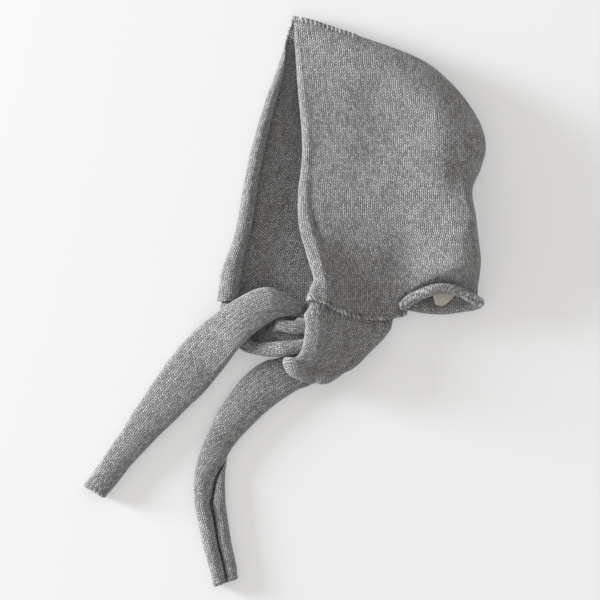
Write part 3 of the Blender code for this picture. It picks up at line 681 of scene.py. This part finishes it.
tieCut = {
    "width": 0.036,
    "nearTail": 0.175,
    "farTail": 0.194,
    "chin": (-0.440, -0.425),  # shares of the hood's depth and height
    "gap": 0.0003,
    "rest": 0.0002,
    "rowStep": 0.0013,
    "turnEdge": 0.09,  # share of the strip next to each edge that dips into the groove where it turns over
    "tuck": 0.0036,  # how far a tie's sewn end lies under the hood's cloth
    "under": 0.0024,  # and how far in
    "tuckLength": 0.0060,
    "lowest": 0.0001,
    "middle": 0.88,  # the part of the sewn edge without the second curl
    "squareness": 0.85,  # below 1 a turned section is fuller than an ellipse
    "weltEnd": 0.064,  # from the seam to where the welt has flattened
    "weltFade": 0.020,
    "foldsFade": (0.085, 0.100),  # from the seam
    "castOff": 0.0011,  # how thick the last row is, where it lies and how wide it is
    "castOffFrom": 0.0012,
    "castOffHalf": 0.0018,
    "castOffPitch": 0.0034,
    "endGroove": 0.0005,
    "endGrooveFrom": 0.0042,
    "endGrooveHalf": 0.0011,
    "roundEnd": 0.0032,  # length over which the free end is drawn in
    "drawn": 0.42,
    "unevenness": 0.0002,
    "unevenSize": 0.030,
}
tieSteps = {"edge": 14, "middle": 22}

# Sections of each tie from its seam through the half knot, in shares of the tie's width, x and y from the
# chin. turn is the way the section points in plan, fold how far the strip has folded over, twist its roll
# about its own length, flat a curled edge's height as a share of its width, arch the rise of the middle.
# x, y, z, width, turn, fold, twist, roll p, roll q, flat, curl p, curl q, arch
nearKnot = (
    (0.953, -0.433, 0.581, 1.970, -10, 0, -14, 0.133, 0.100, 1.00, 150, 50, -0.030),
    (0.867, -0.693, 0.597, 1.789, -9, 0, -15, 0.122, 0.100, 1.00, 95, 90, -0.030),
    (0.693, -1.008, 0.617, 1.507, -10, 0, -15, 0.122, 0.100, 1.00, 90, 90, -0.030),
    (0.466, -1.327, 0.647, 1.241, -16, 0, -15, 0.122, 0.100, 1.00, 85, 90, -0.030),
    (0.200, -1.490, 0.642, 1.005, -26, 0, -14, 0.117, 0.100, 1.00, 75, 80, -0.030),
    (-0.030, -1.538, 0.656, 0.953, -35, 0, -7, 0.106, 0.100, 1.00, 80, 80, 0.044),
    (-0.152, -1.586, 0.589, 0.888, -41, 45, -4, 0.106, 0.106, 1.00, 70, 70, 0.050),
    (-0.186, -1.621, 0.456, 0.845, -42, 90, 0, 0.106, 0.106, 1.00, 60, 60, 0.050),
    (-0.152, -1.586, 0.322, 0.823, -42, 135, 0, 0.100, 0.100, 1.00, 60, 60, 0.039),
    (-0.035, -1.452, 0.269, 0.802, -36, 180, 0, 0.094, 0.094, 1.00, 70, 70, 0.000),
    (0.000, -1.235, 0.269, 0.715, -20, 180, 0, 0.089, 0.089, 1.00, 80, 80, 0.000),
    (0.011, -0.975, 0.269, 0.607, -5, 180, 0, 0.089, 0.089, 1.00, 80, 80, 0.000),
    (0.065, -0.737, 0.269, 0.498, 6, 180, 0, 0.089, 0.089, 1.00, 80, 80, 0.000),
    (0.108, -0.563, 0.275, 0.412, 14, 180, 3, 0.089, 0.089, 1.00, 80, 80, 0.000),
    (0.141, -0.423, 0.294, 0.358, 26, 180, 16, 0.086, 0.086, 1.00, 75, 75, 0.000),
    (0.152, -0.303, 0.328, 0.314, 44, 180, 48, 0.083, 0.083, 1.00, 70, 70, 0.000),
    (0.115, -0.221, 0.378, 0.293, 64, 180, 98, 0.083, 0.083, 1.00, 70, 70, 0.000),
    (0.028, -0.173, 0.433, 0.282, 80, 180, 148, 0.083, 0.083, 1.00, 80, 80, 0.000),
    (-0.113, -0.171, 0.494, 0.287, -86, 0, -2, 0.089, 0.089, 1.00, 130, 130, 0.017),
    (-0.273, -0.135, 0.556, 0.408, -84, 0, -2, 0.103, 0.103, 1.00, 180, 180, 0.028),
    (-0.486, -0.087, 0.614, 0.557, -81, 0, -1, 0.117, 0.117, 1.00, 230, 230, 0.033),
    (-0.720, -0.068, 0.644, 0.701, -78, 0, -1, 0.122, 0.122, 1.00, 250, 250, 0.033),
    (-0.964, -0.142, 0.639, 0.807, -74, 0, 0, 0.122, 0.122, 1.00, 250, 250, 0.033),
    (-1.208, -0.281, 0.624, 0.843, -68, 0, 1, 0.122, 0.122, 1.00, 250, 250, 0.033),
    (-1.459, -0.453, 0.583, 0.875, -61, 0, 3, 0.122, 0.122, 1.00, 250, 250, 0.033),
)
farKnot = (
    (-1.094, -0.466, 0.006, 1.498, 177, 180, 0, 0.089, 0.211, 0.63, 30, 240, 0.000),
    (-1.100, -0.655, 0.033, 1.156, -170, 180, 0, 0.089, 0.194, 0.63, 50, 240, 0.000),
    (-1.008, -0.818, 0.111, 0.926, -145, 180, 0, 0.115, 0.178, 0.66, 110, 240, 0.000),
    (-0.829, -0.867, 0.250, 0.724, -112, 180, 0, 0.142, 0.172, 0.70, 200, 240, 0.000),
    (-0.547, -0.827, 0.378, 0.814, -83, 180, 0, 0.150, 0.181, 0.72, 225, 240, 0.000),
    (-0.303, -0.832, 0.400, 0.771, -90, 180, 0, 0.158, 0.181, 0.72, 240, 240, 0.000),
    (0.000, -0.810, 0.408, 0.719, -90, 180, 0, 0.158, 0.178, 0.70, 240, 240, 0.000),
    (0.271, -0.807, 0.411, 0.661, -88, 180, 0, 0.144, 0.167, 0.68, 240, 240, 0.000),
    (0.412, -0.823, 0.383, 0.715, -80, 135, 0, 0.128, 0.139, 0.80, 240, 240, 0.000),
    (0.455, -0.845, 0.328, 0.737, -70, 90, 0, 0.122, 0.122, 0.90, 240, 240, 0.000),
    (0.412, -0.888, 0.272, 0.780, -60, 45, 0, 0.117, 0.117, 0.95, 240, 240, 0.000),
    (0.303, -0.986, 0.244, 0.823, -50, 0, 0, 0.117, 0.117, 1.00, 250, 250, 0.000),
    (0.043, -1.246, 0.244, 0.867, -44, 0, 0, 0.117, 0.117, 1.00, 250, 250, 0.000),
    (-0.260, -1.555, 0.244, 0.882, -43, 0, 0, 0.117, 0.117, 1.00, 250, 250, 0.011),
)
# The free ends: x and y are shares of the tail's length from the knot's last section. None as z lies on the
# surface.
nearTailRows = (
    (-0.055, -0.045, 0.493, 0.918, -54, 0, 6, 0.122, 0.122, 1.00, 250, 250, 0.033),
    (-0.110, -0.101, 0.372, 1.020, -52, 0, 5, 0.122, 0.122, 1.00, 250, 250, 0.033),
    (-0.169, -0.165, 0.281, 1.050, -46, 0, 5, 0.122, 0.122, 1.00, 250, 250, 0.033),
    (-0.228, -0.239, None, 1.039, -43, 0, 4, 0.122, 0.122, 1.00, 250, 250, 0.033),
    (-0.286, -0.306, None, 0.971, -41, 0, 4, 0.122, 0.122, 1.00, 250, 250, 0.033),
    (-0.343, -0.375, None, 0.885, -40, 0, 4, 0.122, 0.122, 1.00, 250, 250, 0.033),
    (-0.402, -0.445, None, 0.780, -39, 0, 3, 0.122, 0.122, 1.00, 250, 250, 0.031),
    (-0.456, -0.515, None, 0.689, -37, 0, 3, 0.122, 0.122, 1.00, 250, 250, 0.028),
    (-0.510, -0.583, None, 0.619, -35, 0, 2, 0.122, 0.122, 1.00, 250, 250, 0.025),
    (-0.562, -0.654, None, 0.582, -35, 0, 0, 0.122, 0.122, 1.00, 250, 250, 0.019),
    (-0.608, -0.715, None, 0.556, -34, 0, 0, 0.122, 0.122, 1.00, 250, 250, 0.017),
    (-0.646, -0.763, None, 0.525, -31, 0, 0, 0.122, 0.122, 1.00, 250, 250, 0.014),
)
farTailRows = (
    (-0.042, -0.012, None, 0.920, -43, 0, 0, 0.117, 0.117, 1.00, 250, 250, 0.022),
    (-0.088, -0.038, None, 0.928, -46, 0, 0, 0.117, 0.117, 1.00, 250, 250, 0.028),
    (-0.133, -0.071, None, 0.905, -48, 0, 0, 0.117, 0.117, 1.00, 250, 250, 0.033),
    (-0.173, -0.108, None, 0.873, -50, 0, 0, 0.117, 0.117, 1.00, 250, 250, 0.033),
    (-0.210, -0.150, None, 0.828, -50, 0, 0, 0.117, 0.117, 1.00, 250, 250, 0.033),
    (-0.244, -0.191, None, 0.765, -49, 0, 0, 0.117, 0.117, 1.00, 250, 250, 0.033),
    (-0.273, -0.232, None, 0.685, -44, 0, 0, 0.117, 0.117, 1.00, 250, 250, 0.028),
)
# Below these the strip has turned over: its two edges, which meet in a gap underneath, come round the right
# side to the top. gap is where they meet, from 0 underneath through -90 at the right to -180 on top, and
# groove how deep they dip there.
# x, y, width, turn, height, gap, groove
farTurnRows = (
    (-0.284, -0.253, 0.643, -39, 0.256, -14, 0.022),
    (-0.297, -0.275, 0.612, -33, 0.256, -34, 0.028),
    (-0.309, -0.300, 0.600, -27, 0.256, -62, 0.033),
    (-0.319, -0.325, 0.612, -21, 0.256, -92, 0.039),
    (-0.326, -0.354, 0.630, -17, 0.256, -118, 0.044),
    (-0.333, -0.385, 0.650, -13, 0.256, -138, 0.050),
    (-0.337, -0.417, 0.665, -9, 0.256, -153, 0.056),
    (-0.339, -0.450, 0.672, -5, 0.256, -162, 0.058),
    (-0.339, -0.484, 0.680, -1, 0.256, -167, 0.061),
)
# From there to the end the purl side is up and the two curled edges lie side by side as two tubes.
farEndRows = (
    (-0.337, -0.532, None, 0.672, 3, 0, 180, 0.147, 0.172, 0.76, 245, 245, 0.000),
    (-0.330, -0.572, None, 0.654, 4, 0, 180, 0.142, 0.172, 0.76, 250, 250, 0.000),
    (-0.321, -0.626, None, 0.633, 7, 0, 180, 0.136, 0.167, 0.77, 255, 255, 0.000),
    (-0.310, -0.689, None, 0.615, 9, 0, 180, 0.133, 0.161, 0.79, 260, 255, 0.000),
    (-0.295, -0.750, None, 0.598, 11, 0, 180, 0.131, 0.156, 0.81, 260, 260, 0.000),
    (-0.281, -0.806, None, 0.581, 14, 0, 180, 0.128, 0.150, 0.83, 265, 260, 0.000),
    (-0.274, -0.849, None, 0.568, 19, 0, 180, 0.128, 0.144, 0.84, 265, 265, 0.000),
)


def sewnEdge(edge):
    # a tie's first section: the hood's sewn edge, from the curled front edge to the seam's end
    corner = hoodSteps["edge"]
    first = [i / tieSteps["edge"] for i in range(tieSteps["edge"])]
    middle = tieCut["middle"]
    rest = [middle * i / tieSteps["middle"] for i in range(tieSteps["middle"] + 1)]
    rest += [middle + (1 - middle) * (i + 1) / tieSteps["edge"] for i in range(tieSteps["edge"])]
    points = np.concatenate((shareOut(edge[:corner + 1], first), shareOut(edge[corner:], rest)))
    return points - np.array((0.0, 4 * tieCut["gap"], 0.0))


def tieSection(row, start, unit):
    x, y, z, width, turn, fold, twist, rollP, rollQ, flat, curlP, curlQ, arch = row
    width, rollP, rollQ, arch = (v * tieCut["width"] for v in (width, rollP, rollQ, arch))
    turn, fold, twist = math.radians(turn), math.radians(fold), math.radians(twist)
    across = np.array((math.cos(turn), math.sin(turn), 0.0))
    ahead = np.array((math.sin(turn), -math.cos(turn), 0.0))
    knit = np.array((0.0, 0.0, 1.0)) * math.cos(fold) + ahead * math.sin(fold)
    across, knit = (across * math.cos(twist) + knit * math.sin(twist),
                    knit * math.cos(twist) - across * math.sin(twist))
    left, right = -width / 2 + rollP, width / 2 - rollQ
    places = [(left - rollP * math.sin(math.radians(a)), -rollP * flat * (1 - math.cos(math.radians(a))))
              for a in edgeAngles(curlP, tieSteps["edge"])]
    for i in range(tieSteps["middle"] + 1):
        s = i / tieSteps["middle"]
        places.append((left + (right - left) * s, arch * 4 * s * (1 - s)))
    places += [(right + rollQ * math.sin(math.radians(a)), -rollQ * flat * (1 - math.cos(math.radians(a))))
               for a in reversed(edgeAngles(curlQ, tieSteps["edge"]))]
    points = np.array([across * q + knit * h for q, h in places])
    points += np.array((start[0] + x * unit, start[1] + y * unit, 0.0))
    points[:, 2] += tieCut["rest"] - points[:, 2].min() if z is None else z * tieCut["width"]
    return points


def turnedSection(row, start, unit):
    x, y, width, turn, height, gap, groove = row
    width, height, groove = (v * tieCut["width"] for v in (width, height, groove))
    across = np.array((math.cos(math.radians(turn)), math.sin(math.radians(turn)), 0.0))
    edge, middle = tieSteps["edge"], tieSteps["middle"]
    shares = [0.01 + 0.34 * i / edge for i in range(edge)]
    shares += [0.35 + 0.30 * i / middle for i in range(middle + 1)]
    shares += [0.65 + 0.34 * (i + 1) / edge for i in range(edge)]
    points = []
    for share in shares:
        angle = math.radians(gap) + 2 * math.pi * share
        side = -width / 2 * math.copysign(abs(math.sin(angle)) ** tieCut["squareness"], math.sin(angle))
        rise = height / 2 * (1 - math.copysign(abs(math.cos(angle)) ** tieCut["squareness"], math.cos(angle)))
        near = math.exp(-(min(share, 1 - share) / tieCut["turnEdge"]) ** 2)
        side *= 1 - groove / width * near
        rise += (height / 2 - rise) / (height / 2) * groove * near
        side += math.copysign(0.25 * groove * near, 0.5 - share) * -math.cos(math.radians(gap))
        points.append(across * side + np.array((0.0, 0.0, rise)))
    points = np.array(points) + np.array((start[0] + x * unit, start[1] + y * unit, 0.0))
    points[:, 2] += tieCut["rest"] - points[:, 2].min()
    return points


def tieKnit(grid):
    # wales run along the strip, counted from its middle
    steps = np.linalg.norm(np.diff(grid, axis=1), axis=2)
    wide = np.concatenate((np.zeros((len(grid), 1)), np.cumsum(steps, axis=1)), axis=1)
    middle = grid.shape[1] // 2
    wide = wide - wide[:, [middle]]
    full = np.median(wide[:, -1] - wide[:, 0])
    pace = np.linalg.norm(np.diff(grid[:, middle - 8:middle + 9].mean(axis=1), axis=0), axis=1)
    length = np.concatenate(((0.0,), np.cumsum(pace)))
    wale = wide / yarn["wale"] + 0.25
    course = np.repeat(length[:, None] / yarn["course"], grid.shape[1], axis=1)
    return np.stack((wale, course), axis=2), full, length


def endBulge(wide, length):
    # the thick cast-off row at the free end, one bump to each pair of stitches
    left = length[-1] - length
    bumps = 0.6 + 0.4 * np.sin(2 * math.pi * wide / tieCut["castOffPitch"])
    groove = tieCut["endGroove"] * softBump(left, tieCut["endGrooveFrom"], tieCut["endGrooveHalf"])
    row = softBump(left, tieCut["castOffFrom"], tieCut["castOffHalf"])
    return tieCut["castOff"] * bumps * row[:, None] - groove[:, None]


def roundedEnd(grid, length):
    # each curled edge is drawn together over the last few millimetres
    edge = tieSteps["edge"]
    share = smoothStep(0.3, 0.7, np.linspace(0, 1, grid.shape[1]))[None, :, None]
    centre = grid[:, :edge].mean(axis=1)[:, None] * (1 - share) + grid[:, -edge:].mean(axis=1)[:, None] * share
    near = np.clip(1 - (length[-1] - length) / tieCut["roundEnd"], 0, 1) ** 2
    return centre + (grid - centre) * (1 - tieCut["drawn"] * near)[:, None, None]


def tieWelt(grid, length):
    # the welt of the front edge goes on down the sewn end of the tie
    steps = np.linalg.norm(np.diff(grid, axis=1), axis=2)
    inward = np.concatenate((np.zeros((len(grid), 1)), np.cumsum(steps, axis=1)), axis=1)
    inward = inward - inward[:, [tieSteps["edge"]]]
    fade = 1 - smoothStep(tieCut["weltEnd"] - tieCut["weltFade"], tieCut["weltEnd"], length)
    return weltRise(inward, welt["tieReach"], 1.0, welt["tieRise"]) * fade[:, None]


# The soft folds where the sewn end turns under: x, y, reach and rise of each.
foldLumps = (
    (-0.0730, -0.1475, 0.0085, 0.0032),
    (-0.0570, -0.1570, 0.0040, -0.0026),
    (-0.0450, -0.1535, 0.0070, 0.0018),
    (-0.0330, -0.1480, 0.0035, -0.0012),
)


def foldSwells(grid, length):
    total = np.zeros(grid.shape[:2])
    for x, y, reach, rise in foldLumps:
        total += rise * softBump(np.hypot(grid[..., 0] - x, grid[..., 1] - y), 0.0, reach)
    return total * (1 - smoothStep(*tieCut["foldsFade"], length))[:, None]


def makeTie(name, sewn, knot, tail, tailLength, seed, turned=(), end=()):
    chin = (tieCut["chin"][0] * hoodCut["depth"], tieCut["chin"][1] * hoodCut["height"])
    sections = [sewn] + [tieSection(row, chin, tieCut["width"]) for row in knot]
    start = (knot[-1][0] * tieCut["width"] + chin[0], knot[-1][1] * tieCut["width"] + chin[1])
    sections += [tieSection(row, start, tailLength) for row in tail]
    sections += [turnedSection(row, start, tailLength) for row in turned]
    sections += [tieSection(row, start, tailLength) for row in end]
    grid = refineRows(sections, tieCut["rowStep"])
    knit, wide, length = tieKnit(grid)
    swell = lumps(grid, tieCut["unevenSize"], seed) * tieCut["unevenness"]
    if not turned:
        swell += tieWelt(grid, length) + foldSwells(grid, length)
    swell += endBulge(knit[..., 0] * yarn["wale"], length)
    tucked = 1 - smoothStep(0.0, tieCut["tuckLength"], length)[:, None]
    swell -= tieCut["tuck"] * tucked
    grid = roundedEnd(grid + surfaceNormals(grid) * swell[..., None], length)
    grid[..., 1] += tieCut["under"] * tucked
    grid[..., 2] = np.maximum(grid[..., 2], tieCut["lowest"])
    return clothPiece(name, grid, knit, hoodCut["wall"], (tieFace, knitBack)), wide, length[-1]


hood, seams, nearSeam, farSeam = makeHood()
print("hood made")

nearTie, nearWide, nearLong = makeTie("near_tie_strip", nearSeam, nearKnot, nearTailRows, tieCut["nearTail"], 5)
farTie, farWide, farLong = makeTie("far_tie_strip", farSeam, farKnot, farTailRows, tieCut["farTail"], 8,
                                    farTurnRows, farEndRows)
print("ties made", nearWide, nearLong, farWide, farLong)


labelCut = {
    "steps": (20, 14),
    "shift": (-0.0025, 0.0015, 0.0),
    "endLeft": 0.12,  # how far the free end is drawn in, as shares of the width
    "endRight": 0.42,
    "leftBy": 0.5,  # share of the length over which each side is drawn in
    "rightBy": 0.6,
    "roundEnd": 0.0012,
    "crease": 0.0014,
    "creaseAt": 0.2,  # share of the width
    "inset": 0.0010,
    "topInset": 0.0012,
    "wall": 0.0007,
    "colour": (0.60, 0.56, 0.48, 1.0),
    # shade is painted shade in the low points of the weave
    "shade": (0.42, 0.39, 0.33, 1.0),
    "thread": 0.00045,
}


def labelFinish():
    material, shader, start = newFinish("bare label tape")
    coords = start.node("UVMap", {"uv_map": "Knit"})
    split = start.node("SeparateXYZ", None, {0: coords})
    high = Socket(start.tree, split.link.node.outputs[1])
    warp = split.maths("SINE", split * (2 * math.pi))
    weft = split.maths("SINE", high * (2 * math.pi))
    weave = warp * weft * 0.5 + 0.5
    # painted shade: the tape's colour darkens where the weave is low
    attach(weave.blend(labelCut["shade"], labelCut["colour"]), shader, "Base Color")
    bump = start.node("Bump", None, {"Strength": 0.5, "Distance": 0.0001, "Height": weave})
    attach(bump, shader, "Normal")
    shader.inputs["Roughness"].default_value = 0.75
    return material


def makeLabel():
    # the tab narrows to a rounded end and has one crease down its left side
    low, high = (Vector(corner) + Vector(labelCut["shift"]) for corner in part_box("label"))
    wide, long = labelCut["steps"]
    inset, creaseAt = labelCut["inset"], labelCut["creaseAt"]
    grid = np.zeros((long + 1, wide + 1, 3))
    for i in range(long + 1):
        t = 1 - i / long
        left = labelCut["endLeft"] * (1 - smoothStep(0.0, labelCut["leftBy"], t))
        right = 1 - labelCut["endRight"] * (1 - math.sin(min(1.0, t / labelCut["rightBy"]) * math.pi / 2))
        for j in range(wide + 1):
            s = left + (right - left) * j / wide
            roundOff = labelCut["roundEnd"] * (1 - t) * math.sin(math.pi * j / wide)
            crease = labelCut["crease"] * max(0.0, 1 - abs(j / wide - creaseAt) / creaseAt)
            grid[i, j] = (low[0] + (high[0] - low[0]) * s,
                          low[1] + inset + (high[1] - low[1] - inset) * t - roundOff,
                          low[2] + inset + (high[2] - low[2] - labelCut["topInset"]) * t + crease * (1 - t))
    threads = np.stack(((grid[..., 0] - low[0]), (grid[..., 1] - low[1])), axis=2) / labelCut["thread"]
    tape = labelFinish()
    return clothPiece("label_tape", grid, threads, labelCut["wall"], (tape, tape))


label = makeLabel()
print("label made")


for stitches in seams:
    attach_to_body(stitches, "root")
    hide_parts("hood")
for piece, node, slot in ((hood, "hood", "hood_knit"), (nearTie, "near_tie", "near_tie_knit"),
                          (farTie, "far_tie", "far_tie_knit"), (label, "label", "label_cloth")):
    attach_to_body(piece, "root")
    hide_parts(node)


studio = {
    "viewWidth": 0.468,
    "viewCentre": (-0.0663, -0.0936),
    "cameraHeight": 6.0,
    "cameraReach": 40.0,
    "sensor": 36.0,
    "floor": (0.545, 0.553, 0.566, 1.0),
    "floorHalf": 4.0,
    "floorHeight": -0.0003,
    "floorRoughness": 0.9,
    # the floor glows a little: painted light that lifts the shadows on it
    "floorPaintedGlow": 0.29,
    "fill": (1.0, 0.965, 0.92, 1.0),
    "fillStrength": 0.72,
    "key": (0.97, 0.985, 1.0),
    "keyPlace": (-3.4, 0.95, 0.52),
    "keySize": 1.2,
    "keyPower": 330,
}


def makeStudio():
    world = bpy.data.worlds.new("soft studio")
    world.use_nodes = True
    background = world.node_tree.nodes["Background"]
    background.inputs["Color"].default_value = studio["fill"]
    background.inputs["Strength"].default_value = studio["fillStrength"]
    bpy.context.scene.world = world

    material, shader, _ = newFinish("pale floor with painted glow")
    shader.inputs["Base Color"].default_value = studio["floor"]
    shader.inputs["Roughness"].default_value = studio["floorRoughness"]
    # painted light: the floor glows, which lifts the shadows that fall on it
    shader.inputs["Emission Color"].default_value = (1.0, 1.0, 1.0, 1.0)
    shader.inputs["Emission Strength"].default_value = studio["floorPaintedGlow"]
    mesh = bpy.data.meshes.new("floor")
    half, level = studio["floorHalf"], studio["floorHeight"]
    corners = ((-half, -half), (half, -half), (half, half), (-half, half))
    mesh.from_pydata([(x, y, level) for x, y in corners], [], [(0, 1, 2, 3)])
    mesh.materials.append(material)
    floor = bpy.data.objects.new("floor", mesh)
    bpy.context.scene.collection.objects.link(floor)

    centre = Vector((*studio["viewCentre"], 0.0))
    lamp = bpy.data.lights.new("window", "AREA")
    lamp.energy, lamp.color, lamp.size = studio["keyPower"], studio["key"], studio["keySize"]
    key = bpy.data.objects.new("window", lamp)
    key.location = Vector(studio["keyPlace"]) + centre
    key.rotation_euler = (centre - key.location).to_track_quat("-Z", "Y").to_euler()
    bpy.context.scene.collection.objects.link(key)

    camera = bpy.data.objects.new("camera", bpy.data.cameras.new("camera"))
    camera.data.sensor_width = studio["sensor"]
    camera.data.lens = studio["sensor"] * studio["cameraHeight"] / studio["viewWidth"]
    camera.data.clip_end = studio["cameraReach"]
    camera.location = centre + Vector((0.0, 0.0, studio["cameraHeight"]))
    bpy.context.scene.collection.objects.link(camera)
    bpy.context.scene.camera = camera
    bpy.context.scene.view_settings.view_transform = "Standard"


makeStudio()
print("studio made")

bpy.context.view_layer.update()
